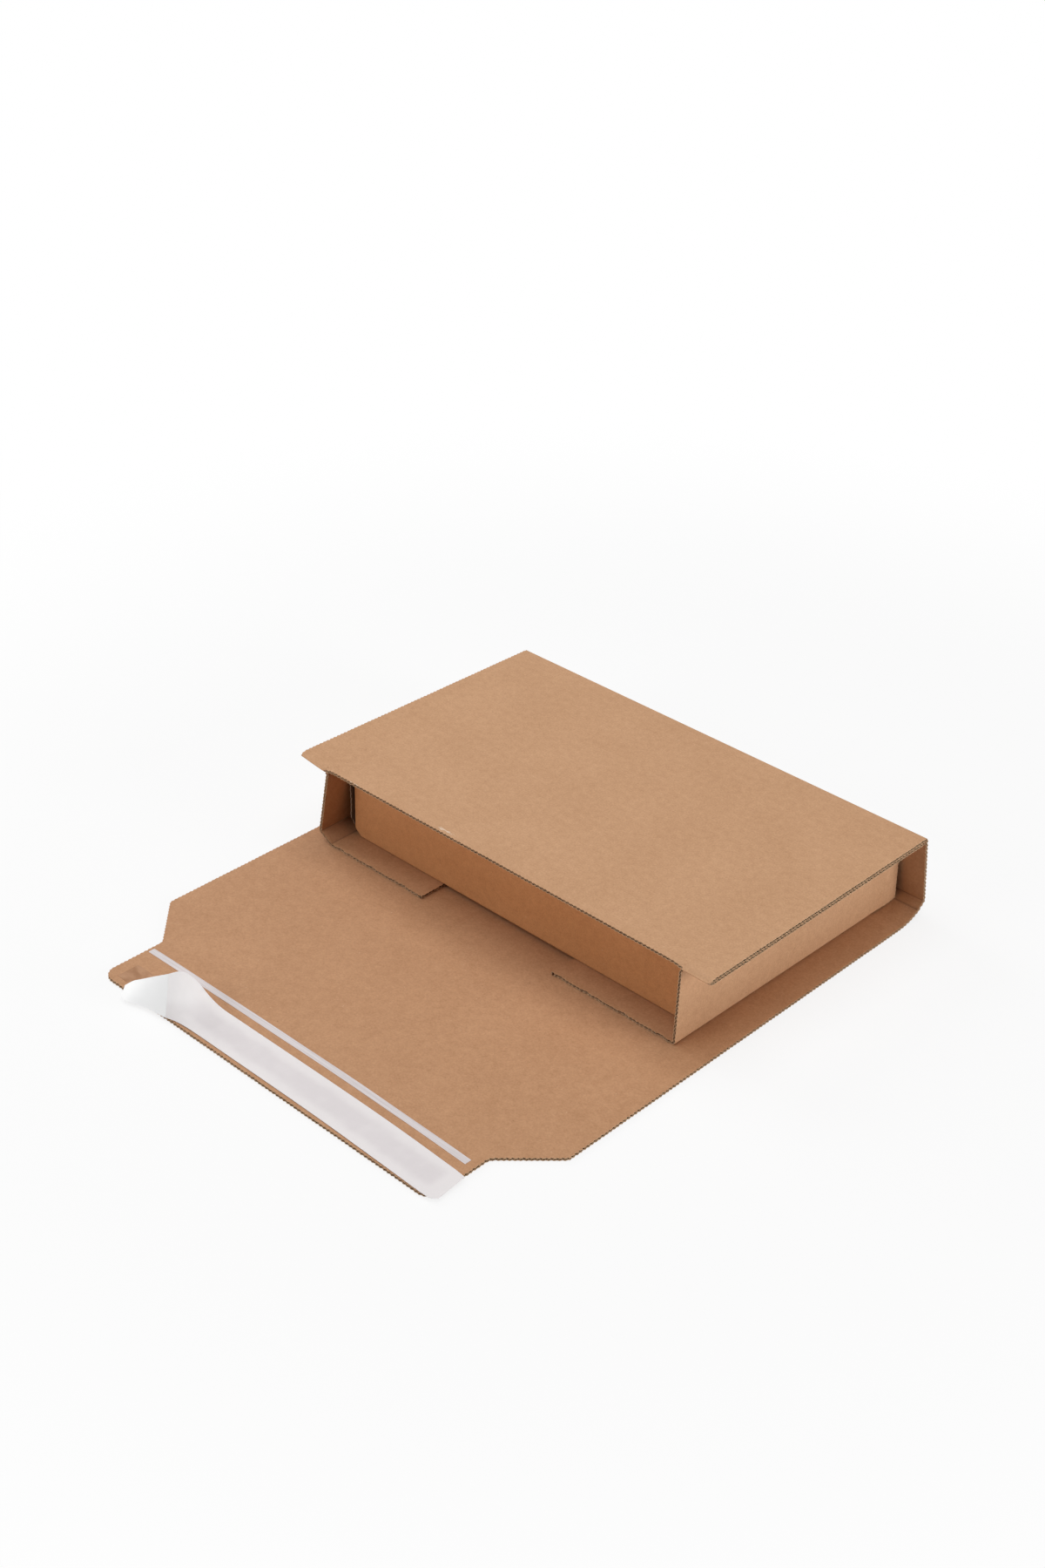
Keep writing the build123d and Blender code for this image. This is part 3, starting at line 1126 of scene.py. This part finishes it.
@dataclass
class WrapBoard:
    """The folded sheet: floor, spine, top, rims, end doors and closing flap."""

    make: BoardMake = field(default_factory=BoardMake)
    half_length: float = 176.0
    top_depth: float = 216.0
    height: float = 62.5
    flap_front: float = -196.0
    half_tongue: float = 144.5
    tongue_depth: float = 47.0
    shoulder_depth: float = 31.5
    tongue_radius: float = 9.0
    shoulder_radius: float = 5.0
    curve_corner: float = 205.0
    curve_radius: float = 45.9
    lower_crease: Pair = (216.5, 5.2)
    upper_crease: Pair = (222.8, 10.8)
    crease_radius: float = 2.6
    fold_line: float = -1.0
    fold_run: float = 6.0
    rim_fold: float = 2.05
    rim_seam: float = 7.0
    rim_slope: float = 2.5  # where the top begins to slope down to the rim's nose
    rim_nose: Pair = (-1.6, 60.4)
    rim_under: float = 2.0  # where the ply that is turned under lies level again
    rim_radii: Triple = (9.0, 0.5, 8.0)
    corner_lift: Triple = (0.0, -1.5, 4.1)  # of the top's left front corner
    lift_power: float = 1.2
    corner_pull: float = 7.0  # how much of the top's front edge bends down beside a rim
    hinge: float = 154.0
    hinge_seam: float = 154.7
    hinge_radius: float = 0.6
    door_depth: float = 213.0
    foot_depth: float = 196.0
    foot_z: float = 2.3
    foot_corner: float = 2.0  # how far inside the foot the cut of its back turns
    foot_wear: float = 0.9
    left_crease: Pair = (-163.0, 9.5)
    left_foot: float = -151.5
    left_corner: tuple[Pair, ...] = ((2.6, 5.0), (5.6, 17.0))
    right_foot: float = -152.5
    right_corner: tuple[Pair, ...] = ((1.4, 0.5), (2.5, 7.6), (4.45, 14.8), (6.6, 20.0))
    right_turn: float = 0.0103  # how much the right wall turns outwards
    right_flare: float = 2.7  # how far its back end is bent out on top of that
    flare_run: Pair = (200.0, 220.0)
    flare_drop: float = 22.0  # how far below the hinge the wall stands out in full
    cut_shift: float = 2.6  # how far left of the middle the cut between the two doors lies
    outer: Colour = linear(196, 151, 113)
    inner: Colour = linear(186, 139, 101)
    scuffs: tuple[tuple[float, float, float, float], ...] = (
        (-45.0, 3.4, 10.0, 1.6),  # place along and behind the top's front edge, and size along and across
        (-127.0, 0.2, 8.0, 0.6),
        (-72.0, 0.2, 7.0, 0.6),
    )
    rim_shift: Pair = (0.0, 700.0)
    door_shift: Pair = (0.0, 1000.0)
    inner_gap: float = 2.0  # between an outline and the mesh points nearest to it
    panel_columns: int = 33
    fold_rows: int = 13
    rim_columns: int = 4
    door_rows: int = 20

    @property
    def low(self) -> float:
        """Level of the outer face of the ply that is turned under the top."""
        return self.height - 2 * self.rim_fold

    def build(self, groups: PaperGroups) -> bpy.types.Object:
        """Builds and dresses the sheet.

        Args:
            groups: the shared node groups.

        Returns:
            The sheet's object.
        """
        path = self._main_path()
        panels = [self._main_panel(path), self._rim(-1), self._rim(1), self._left_door(), self._right_door()]
        parts = MeshParts()
        for panel in panels:
            panel.add_to(parts, self.make)
        scuffs = tuple(
            Scuff((x * MM, (path.length - y) * MM, 0.0), (wide * MM, deep * MM, 1.0 * MM))
            for x, y, wide, deep in self.scuffs
        )
        kraft = KraftFinish("kraft_face", self.outer, self.inner, scuffs).material(groups)
        cut = CutEdgeFinish("kraft_cut_edge").material(groups)
        return parts.to_object("folded_sheet", [kraft, cut])

    def _main_path(self) -> BentLine:
        """Draws the outer face in the YZ plane: floor, curved back, creased spine and top.

        Returns:
            The line, from the closing flap's front edge to the top panel's front edge.
        """
        line = [(self.flap_front, 0.0), (self.curve_corner, 0.0), self.lower_crease, self.upper_crease]
        line += [(self.top_depth, self.height), (0.0, self.height)]
        return BentLine(line, [self.curve_radius] + [self.crease_radius] * 3)

    def _main_panel(self, path: BentLine) -> BoardPanel:
        """Draws the panel from the closing flap's front edge, under the pack, up the spine and over the top.

        Args:
            path: its line.

        Returns:
            The panel.
        """
        end, seam = path.length, path.length - self.rim_seam
        shoulder = self.tongue_depth + self.shoulder_depth
        side = [(0.0, 0.0), (self.half_tongue, 0.0), (self.half_tongue, self.tongue_depth)]
        side += [(self.half_length, shoulder), (self.half_length, seam)]
        radii = [self.tongue_radius, self.shoulder_radius, self.shoulder_radius]
        mirrored_side = [(-x, q) for x, q in reversed(side)]
        hinge = self.hinge_seam
        runs = [
            EdgeRun(BentLine(side, radii)),
            EdgeRun(straight((self.half_length, seam), (hinge, seam)), False),
            EdgeRun(straight((hinge, seam), (hinge, end)), False),
            EdgeRun(straight((hinge, end), (-hinge, end))),
            EdgeRun(straight((-hinge, end), (-hinge, seam)), False),
            EdgeRun(straight((-hinge, seam), (-self.half_length, seam)), False),
            EdgeRun(BentLine(mirrored_side, radii[::-1])),
        ]
        fold = self.fold_line - self.flap_front
        fold_rows = np.linspace(fold - 1.5 * self.fold_run, fold + 0.5 * self.fold_run, self.fold_rows)
        rows = np.unique(np.concatenate([path.rows(spacing=16, arc_steps=6), fold_rows]))
        reach = self.half_length - self.inner_gap
        columns = np.linspace(-reach, reach, self.panel_columns)
        return BoardPanel(runs, path, Follow.SECOND, columns, rows, warp=self._pulled_corners)

    def _pulled_corners(self, points: Array) -> Array:
        """Pulls the top's front corners down to the slope of the rims' noses, and lifts the left rim's side.

        The pull is a smooth step along the front edge up to the hinge, times one across it.

        Args:
            points: points of the main panel.

        Returns:
            The points, moved.
        """
        x, y, z = points.T
        nose_y, nose_z = self.rim_nose
        drop = (self.height - nose_z) * self.rim_slope / (self.rim_slope - nose_y)
        near = ease(np.abs(x), self.hinge - self.corner_pull, self.hinge) * (z > self.height / 2)
        down = drop * near * ease(-y, -self.rim_slope, 0.0)
        return self._lifted_corner(points) - down[:, None] * np.array([0.0, 0.0, 1.0])

    def _lifted_corner(self, points: Array) -> Array:
        """Bends the left rim of the top up, by a power outwards from the hinge and a slope forwards.

        Args:
            points: points of the main panel or of a rim.

        Returns:
            The points, moved.
        """
        x, y, z = points.T
        outwards = np.clip((-x - self.hinge) / (self.half_length - self.hinge), 0, 1)
        forwards = np.clip(1 - y / self.top_depth, 0, 1)
        share = outwards**self.lift_power * forwards * (z > self.height / 2)
        return points + share[:, None] * np.array(self.corner_lift)

    def _rim(self, side: int) -> BoardPanel:
        """Draws the inner ply of a rim, turned under the front of the top panel.

        Args:
            side: -1 for the left rim, 1 for the right one.

        Returns:
            The panel.
        """
        line = [(self.rim_seam, self.height), (self.rim_slope, self.height), self.rim_nose]
        line += [(self.rim_under, self.low), (self.door_depth, self.low)]
        path = BentLine(line, list(self.rim_radii))
        left, right = sorted((side * self.hinge_seam, side * self.half_length))
        end = path.length
        runs = [
            EdgeRun(straight((left, 0.0), (right, 0.0)), False),
            EdgeRun(straight((right, 0.0), (right, end)), side > 0),
            EdgeRun(straight((right, end), (left, end))),
            EdgeRun(straight((left, end), (left, 0.0)), side < 0),
        ]
        columns = np.linspace(left + self.inner_gap, right - self.inner_gap, self.rim_columns)
        rows = path.rows(spacing=16, arc_steps=8)
        return BoardPanel(runs, path, Follow.SECOND, columns, rows, self.rim_shift, warp=self._lifted_corner)

    def _left_door(self) -> BoardPanel:
        """Draws the door whose wall is creased above the floor."""
        wall = [self.left_crease, (self.left_foot, self.foot_z)]
        return self._door(wall, self.left_corner, self.hinge - self.cut_shift)

    def _right_door(self) -> BoardPanel:
        """Draws the door whose wall stands out at the back.

        Returns:
            The door, a left one mirrored.
        """
        wall = [(self.right_foot, self.foot_z)]
        door = self._door(wall, self.right_corner, self.hinge + self.cut_shift)
        door.mirrored = True
        door.warp = self._flared
        return door

    def _flared(self, points: Array) -> Array:
        """Bends the right wall outwards.

        By a slope and a smooth step in y, times a smooth step down from the hinge.

        Args:
            points: points of the right door.

        Returns:
            The points, moved.
        """
        _, y, z = points.T
        out = self.right_turn * y + self.right_flare * ease(y, *self.flare_run)
        share = out * ease(self.low - z, 0.0, self.flare_drop)
        return points + share[:, None] * np.array([1.0, 0.0, 0.0])

    def _door(self, wall: list[Pair], corner: tuple[Pair, ...], reach: float) -> BoardPanel:
        """Draws an end door as a left one: down from the hinge, and in along the floor as its foot.

        Args:
            wall: where its line bends, the last time into the foot.
            corner: its lower back corner, which follows the curve of the floor: how far above the start
                of the foot and how far behind its end each point lies.
            reach: length from the hinge to the end of the foot.

        Returns:
            The door.
        """
        line = [(-self.hinge_seam, self.low), (-self.hinge, self.low), *wall]
        wall_length = sum(math.dist(a, b) for a, b in zip(line[1:], line[2:]))
        line.append((wall[-1][0] + reach - wall_length, self.foot_z))
        path = BentLine(line, [self.hinge_radius] + [self.crease_radius] * len(wall))
        end = path.length
        foot_start = path.starts[-1]
        outline = [(end, self.foot_depth), (foot_start + self.foot_corner, self.foot_depth)]
        outline += [(foot_start - up, self.foot_depth + behind) for up, behind in corner]
        outline += [(0.0, self.door_depth)]
        runs = [
            EdgeRun(straight((0.0, 0.0), (foot_start, 0.0))),
            EdgeRun(straight((foot_start, 0.0), (end, 0.0)), rough=self.foot_wear),
            EdgeRun(straight((end, 0.0), (end, self.foot_depth))),
            *(EdgeRun(straight(a, b)) for a, b in zip(outline, outline[1:])),
            EdgeRun(straight((0.0, self.door_depth), (0.0, 0.0)), False),
        ]
        columns = path.rows(spacing=12, arc_steps=5)
        rows = np.linspace(self.inner_gap, self.door_depth - self.inner_gap, self.door_rows)
        return BoardPanel(runs, path, Follow.FIRST, columns, rows, self.door_shift)


# Pieces on the closing flap


@dataclass
class ReleaseLiner:
    """White liner over the adhesive, its left end peeled up, creased over and hanging past the edge.

    Its back and front edges are smooth lines through points, from the right end to the folded tip.
    """

    film: float = 0.22
    columns: int = 15
    steps: int = 7
    lying: float = 2.35
    flat_back: tuple[Pair, ...] = ((138.0, -169.1), (90.0, -167.4), (40.0, -166.8), (-38.0, -166.8))
    flat_front: tuple[Pair, ...] = ((138.0, -195.6), (90.0, -194.3), (40.0, -193.4), (-38.0, -193.4))
    end_back: tuple[Triple, ...] = ((145.9, -169.7, 2.2), (142.0, -169.4, 2.3))
    end_front: tuple[Triple, ...] = ((148.0, -191.8, 2.0), (144.2, -194.9, 2.2))
    crest_back: Triple = (-88.3, -187.0, 26.3)
    crest_front: Triple = (-81.3, -196.6, 2.4)
    lift_back: tuple[Triple, ...] = (
        (-51.0, -167.4, 3.1),
        (-62.4, -168.7, 5.0),
        (-71.0, -170.5, 10.1),
        (-77.0, -173.0, 17.8),
        (-81.7, -176.5, 23.9),
        (-84.2, -180.5, 26.9),
        (-86.4, -184.0, 26.9),
    )
    lift_front: tuple[Triple, ...] = (
        (-50.0, -193.4, 2.38),
        (-57.5, -193.5, 2.42),
        (-64.0, -193.7, 2.46),
        (-69.5, -194.1, 2.5),
        (-74.0, -194.7, 2.5),
        (-77.0, -195.4, 2.5),
        (-79.3, -196.0, 2.45),
    )
    tip_back: tuple[Triple, ...] = (
        (-93.5, -187.4, 23.0),
        (-102.5, -188.2, 17.3),
        (-112.0, -189.1, 11.1),
        (-120.5, -189.9, 5.6),
        (-123.6, -194.2, 2.9),
    )
    tip_front: tuple[Triple, ...] = (
        (-89.5, -197.4, 2.0),
        (-99.5, -198.8, 1.8),
        (-107.5, -201.6, 1.8),
        (-113.2, -203.2, 1.9),
        (-117.4, -202.2, 2.0),
    )

    def build(self, groups: PaperGroups) -> bpy.types.Object:
        """Builds and dresses the liner.

        Args:
            groups: the shared node groups.

        Returns:
            The liner's object.
        """
        back = [(x, y, self.lying) for x, y in self.flat_back]
        front = [(x, y, self.lying) for x, y in self.flat_front]
        lift_back = [back[-1], *self.lift_back, self.crest_back]
        lift_front = [front[-1], *self.lift_front, self.crest_front]
        stretches = [
            self._rulings([*self.end_back, back[0]], [*self.end_front, front[0]]),
            self._rulings(back, front),
            self._rulings(lift_back, lift_front),
        ]
        before = np.vstack([stretch[:-1] for stretch in stretches])
        tip = self._rulings([self.crest_back, *self.tip_back], [self.crest_front, *self.tip_front])
        middle = np.vstack([before, tip])
        crease = len(before)
        steps = np.linalg.norm(np.diff(middle[:, self.columns // 2], axis=0), axis=1)
        parts = MeshParts()
        add_film(parts, middle, self.film, crease)
        finish = LinerFinish("liner_paper", float(steps[:crease].sum()) * MM)
        return parts.to_object("peeled_liner", [finish.material(groups)])

    def _rulings(self, back: list[Triple], front: list[Triple]) -> Array:
        """Spans straight lines between the front and the back edge.

        Args:
            back: points of the back edge.
            front: points of the front edge.

        Returns:
            Grid of points, rows along the liner.
        """
        across = np.linspace(0, 1, self.columns)[None, :, None]
        front_line, back_line = (smooth_line(edge, self.steps)[:, None] for edge in (front, back))
        return front_line * (1 - across) + back_line * across


@dataclass
class FlatStrip:
    """A thin strip on the closing flap: the adhesive band or the tear strip."""

    name: str
    finish: FilmFinish
    left: float
    right: float
    front: float
    width: float
    film: float
    drift: float
    bow: float = 0.0  # how far its ends lie in front of its middle
    long_wave: float = 31.0
    short_wave: float = 13.0
    short_share: float = 0.6
    rows: int = 90
    columns: int = 6

    def build(self, groups: PaperGroups) -> bpy.types.Object:
        """Builds and dresses the strip.

        Its edges drift sideways as two slow sines along its length, and a parabola bows it.

        Args:
            groups: the shared node groups.

        Returns:
            The strip's object.
        """
        x = np.linspace(self.right, self.left, self.rows)[:, None]
        across = np.linspace(0, self.width, self.columns)[None, :]
        drift = np.sin(x / self.long_wave) + self.short_share * np.sin(x / self.short_wave + across)
        y = self.front + across + self.drift * drift
        y = y - self.bow * (2 * x / (self.right - self.left)) ** 2
        z = np.full_like(y, BOARD + self.film / 2)
        parts = MeshParts()
        add_film(parts, np.stack(np.broadcast_arrays(x, y, z), 2), self.film)
        return parts.to_object(self.name, [self.finish.material(groups)])


# Packed carton


@dataclass(frozen=True)
class DustFlap:
    """Side flap of the carton that shows as a frayed strip in the gap left of its front, its faces dark with
    painted shade.
    """

    side: float = -150.9
    front: float = 18.6
    back: float = 26.0
    low: float = 10.0
    high: float = 57.0
    corner: float = 9.0
    corner_back: float = 3.5
    board: float = 0.6
    fray: float = 0.45
    bulge: float = 0.4
    rows: int = 70
    columns: int = 5

    def add_to(self, parts: MeshParts) -> None:
        """Adds the flap: a plate whose front edge strays as a product of sines and rounds off at its foot.

        Args:
            parts: the carton that takes it.
        """
        z = np.linspace(self.low, self.high, self.rows)[:, None]
        across = np.linspace(0, 1, self.columns)[None, :]
        stray = self.fray * np.sin(2.3 * z) * np.sin(0.9 * z + 1)
        rounded = self.corner_back * ease(-z, -self.low - self.corner, -self.low)
        front = self.front + stray + rounded
        y = front + (self.back - front) * across
        x = self.side - self.bulge * np.sin(0.16 * z) * (1 - across)
        plate = np.stack(np.broadcast_arrays(x, y, z), 2)
        add_film(parts, plate, self.board, finishes=(Face.PAINTED_SHADE, Face.CUT))


@dataclass
class PackedCarton:
    """The carton inside: a box with soft edges and crushed lower ends."""

    half_length: float = 149.0
    front: float = 20.0
    back: float = 206.5
    low: float = 4.35
    high: float = 60.15
    crush: Pair = (5.7, 4.8)
    crush_radius: float = 2.0
    corner_radius: float = 1.6
    edge_radius: float = 1.4
    edge_steps: int = 5
    flap: DustFlap = field(default_factory=DustFlap)
    kraft: Colour = linear(206, 146, 95)
    torn: Colour = linear(184, 166, 148)
    # Painted shade: the dust flap's faces take this dark colour for the shadow in the gap beside the carton
    inside: Colour = linear(92, 76, 64)

    def build(self, groups: PaperGroups) -> bpy.types.Object:
        """Builds and dresses the carton.

        Args:
            groups: the shared node groups.

        Returns:
            The carton's object.
        """
        parts = MeshParts()
        self._add_box(parts)
        self.flap.add_to(parts)
        kraft = KraftFinish("carton_kraft", self.kraft, self.kraft, flute_print=0.0)
        torn = CutEdgeFinish("carton_torn_edge", self.torn)
        # The dust flap's faces: dark kraft that stands in for the shade in the gap
        inside = KraftFinish("carton_flap_painted_shade", self.inside, self.inside, flute_print=0.0)
        return parts.to_object("inner_carton", [finish.material(groups) for finish in (kraft, torn, inside)])

    def _add_box(self, parts: MeshParts) -> None:
        """Adds the box.

        Its rounded front outline is carried back along Y. Near both ends the outline moves in by
        r * (1 - sin t) as Y runs through r * (1 - cos t), a quarter round, and flat faces close it.

        Args:
            parts: the carton that takes it.
        """
        out, up = self.half_length - self.crush[0], self.low + self.crush[1]
        right = [(0.0, self.low), (out, self.low), (self.half_length, up)]
        right += [(self.half_length, self.high), (0.0, self.high)]
        left = [(-x, z) for x, z in reversed(right)]
        radii = [self.crush_radius, self.crush_radius, self.corner_radius]
        line = BentLine(right + left[1:], [*radii, 0.0, *reversed(radii)])
        outline, inward = line.at(line.rows(spacing=14, arc_steps=4)[:-1])
        turn = np.linspace(0, np.pi / 2, self.edge_steps)
        step_in = self.edge_radius * (1 - np.sin(turn))
        step_back = self.edge_radius * (1 - np.cos(turn))
        inset = np.concatenate([step_in, step_in[::-1]])
        y = np.concatenate([self.front + step_back, self.back - step_back[::-1]])
        ring = outline[None] + inward[None] * inset[:, None, None]
        points = np.stack([ring[..., 0], np.broadcast_to(y[:, None], ring.shape[:2]), ring[..., 1]], 2)
        rows, around = points.shape[:2]
        index = np.arange(rows * around).reshape(rows, around)
        after = np.roll(index, -1, axis=1)
        walls = quads_to_triangles(index[:-1], index[1:], after[1:], after[:-1])
        _, cap = fill_loop(ring[0], np.empty((0, 2)))
        faces = np.vstack([walls, cap, cap[:, ::-1] + (rows - 1) * around])
        flat = points.reshape(-1, 3)
        rim = np.isin(np.arange(rows * around) // around, (0, rows - 1))
        place = np.column_stack([flat[:, 0], flat[:, 2] + flat[:, 1], flat[:, 1]])
        parts.add(flat, faces, place, rim=rim)


# Studio


@dataclass(frozen=True)
class Softbox:
    """A square soft light."""

    name: str
    place: Triple
    size: float
    watts: float

    def build(self, aim: Triple) -> None:
        """Adds the light.

        Args:
            aim: the point that it faces.
        """
        data = bpy.data.lights.new(self.name, "AREA")
        data.shape = "SQUARE"
        data.size = self.size
        data.energy = self.watts
        light = bpy.data.objects.new(self.name, data)
        light.location = self.place
        light.rotation_euler = (Vector(aim) - Vector(self.place)).to_track_quat("-Z", "Y").to_euler()
        bpy.context.scene.collection.objects.link(light)


@dataclass
class Studio:
    """Camera, soft lights, white floor and white surround."""

    lens: float = 51.374
    sensor: float = 36.0
    camera_place: Triple = (0.8016, -0.9415, 0.8313)
    azimuth: float = 43.0136
    elevation: float = 31.6425
    roll: float = 1.3553
    aim: Triple = (0.0, -0.1, 0.0)
    lights: tuple[Softbox, ...] = (
        Softbox("overhead_softbox", (0.0, -0.1, 2.0), 2.0, 27.0),
        Softbox("right_softbox", (1.9, 0.45, 0.47), 0.85, 20.0),
        Softbox("left_softbox", (-1.9, 0.0, 1.1), 1.2, 16.5),
        Softbox("front_softbox", (-0.7, -2.1, 0.9), 1.2, 14.0),
    )
    world_fill: float = 0.01
    floor_half: float = 8.0
    floor_level: float = -0.4 * MM
    floor_grey: float = 0.92
    floor_roughness: float = 0.9
    floor_white: float = 0.82  # share of the floor's look to the camera that is plain white, near the object
    white_from: Pair = (0.35, 0.8)  # the share grows to 1 between these distances

    def build(self) -> None:
        """Adds the camera, the lights, the floor and the world."""
        self._camera()
        for light in self.lights:
            light.build(self.aim)
        self._floor()
        self._world()

    def _camera(self) -> None:
        """Adds the camera, turned by azimuth, elevation and a small roll."""
        a, e, r = (math.radians(angle) for angle in (self.azimuth, self.elevation, self.roll))
        back = Vector((math.sin(a) * math.cos(e), -math.cos(a) * math.cos(e), math.sin(e)))
        level = Vector((math.cos(a), math.sin(a), 0.0))
        upright = back.cross(level)
        right = math.cos(r) * level + math.sin(r) * upright
        up = math.cos(r) * upright - math.sin(r) * level
        data = bpy.data.cameras.new("photo_camera")
        data.lens = self.lens
        data.sensor_width = self.sensor
        camera = bpy.data.objects.new("photo_camera", data)
        turn = Matrix((right, up, back)).transposed().to_4x4()
        camera.matrix_world = Matrix.Translation(self.camera_place) @ turn
        bpy.context.scene.collection.objects.link(camera)
        bpy.context.scene.camera = camera

    def _floor(self) -> None:
        """Adds the floor: matt white, partly plain white to the camera, and it keeps the shadow."""
        half, level = self.floor_half, self.floor_level
        mesh = bpy.data.meshes.new("floor")
        corners = [(-half, -half, level), (half, -half, level), (half, half, level), (-half, half, level)]
        mesh.from_pydata(corners, [], [(0, 1, 2, 3)])
        sketch = MaterialSketch("floor_white")
        grey = padded((self.floor_grey,) * 3)
        matt = {"Base Color": grey, "Roughness": self.floor_roughness, "Specular IOR Level": 0.0}
        mesh.materials.append(sketch.dressed(matt))
        white = sketch.add("Emission", {"Strength": 1.0})
        far = sketch.ramp(sketch.distance(sketch.add("TexCoord").outputs["Object"]), *self.white_from)
        plain = sketch.math("MULTIPLY_ADD", far, 1.0 - self.floor_white, self.floor_white)
        share = sketch.math("MULTIPLY", self._seen_ray(sketch), plain)
        look = sketch.add("MixShader", {0: share, 1: sketch.shader.outputs[0], 2: white.outputs[0]})
        sketch.feed(sketch.tree.nodes["Material Output"], {"Surface": look.outputs[0]})
        floor = bpy.data.objects.new("floor", mesh)
        bpy.context.scene.collection.objects.link(floor)

    def _world(self) -> None:
        """Sets a dim even fill that looks white to the camera and in reflections."""
        world = bpy.data.worlds.new("studio")
        world.use_nodes = True
        sketch = NodeSketch(world.node_tree)
        levels = {"Factor": self._seen_ray(sketch), "A": self.world_fill, "B": 1.0}
        strength = sketch.add("Mix", levels, data_type="FLOAT").outputs[0]
        white = padded((1.0, 1.0, 1.0))
        sketch.feed(world.node_tree.nodes["Background"], {"Color": white, "Strength": strength})
        bpy.context.scene.world = world

    def _seen_ray(self, sketch: NodeSketch) -> Socket:
        """Gives 1 for rays from the camera and for what is seen in gloss or glass.

        Args:
            sketch: nodes of the floor or of the world.

        Returns:
            The mask.
        """
        path = sketch.add("LightPath").outputs
        seen = sketch.math("MAXIMUM", path["Is Camera Ray"], path["Is Glossy Ray"])
        return sketch.math("MAXIMUM", seen, path["Is Transmission Ray"])


def build_strips(groups: PaperGroups) -> tuple[bpy.types.Object, bpy.types.Object]:
    """Builds the two strips on the closing flap.

    Args:
        groups: the shared node groups.

    Returns:
        The adhesive band and the tear strip.
    """
    glue = FilmFinish(
        "adhesive_film",
        base=linear(180, 134, 97),
        shade=linear(158, 113, 78),
        roughness=0.6,
        ripple=0.12,
        streak=(90.0, 160.0, 1.0),
    )
    tape = FilmFinish(
        "tear_tape",
        base=linear(224, 216, 216),
        shade=linear(207, 198, 198),
        roughness=0.4,
        ripple=0.2,
        streak=(18.0, 1300.0, 1.0),
    )
    adhesive = FlatStrip(
        "adhesive_band", glue, left=-135.5, right=135.5, front=-191.0, width=16.0, film=0.15, drift=0.25
    )
    tear = FlatStrip(
        "opening_tape", tape, left=-142.0, right=138.5, front=-160.3, width=4.7, film=0.2, drift=0.12, bow=1.6
    )
    return adhesive.build(groups), tear.build(groups)


def main() -> None:
    logging.basicConfig(level=logging.INFO, format="%(name)s: %(message)s")
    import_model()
    bpy.context.scene.view_settings.view_transform = "Standard"
    groups = PaperGroups()

    board = WrapBoard()
    sheet = board.build(groups)
    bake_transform(sheet)
    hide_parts("wrap_sheet", "closing_flap")
    LOG.info("folded sheet: %d triangles", len(sheet.data.polygons))

    liner = ReleaseLiner().build(groups)
    adhesive, tear = build_strips(groups)
    on_flap = (
        (liner, "release_liner", "liner_paper"),
        (adhesive, "adhesive_strip", "adhesive"),
        (tear, "tear_strip", "tear_tape"),
    )
    for piece, node, slot in on_flap:
        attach(piece, "closing_flap")
        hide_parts(node)
        LOG.info("%s: %d triangles", piece.name, len(piece.data.polygons))

    carton = PackedCarton().build(groups)
    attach(carton, "root")
    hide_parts("packed_carton")
    LOG.info("carton: %d triangles", len(carton.data.polygons))

    Studio().build()


if __name__ == "__main__":
    main()
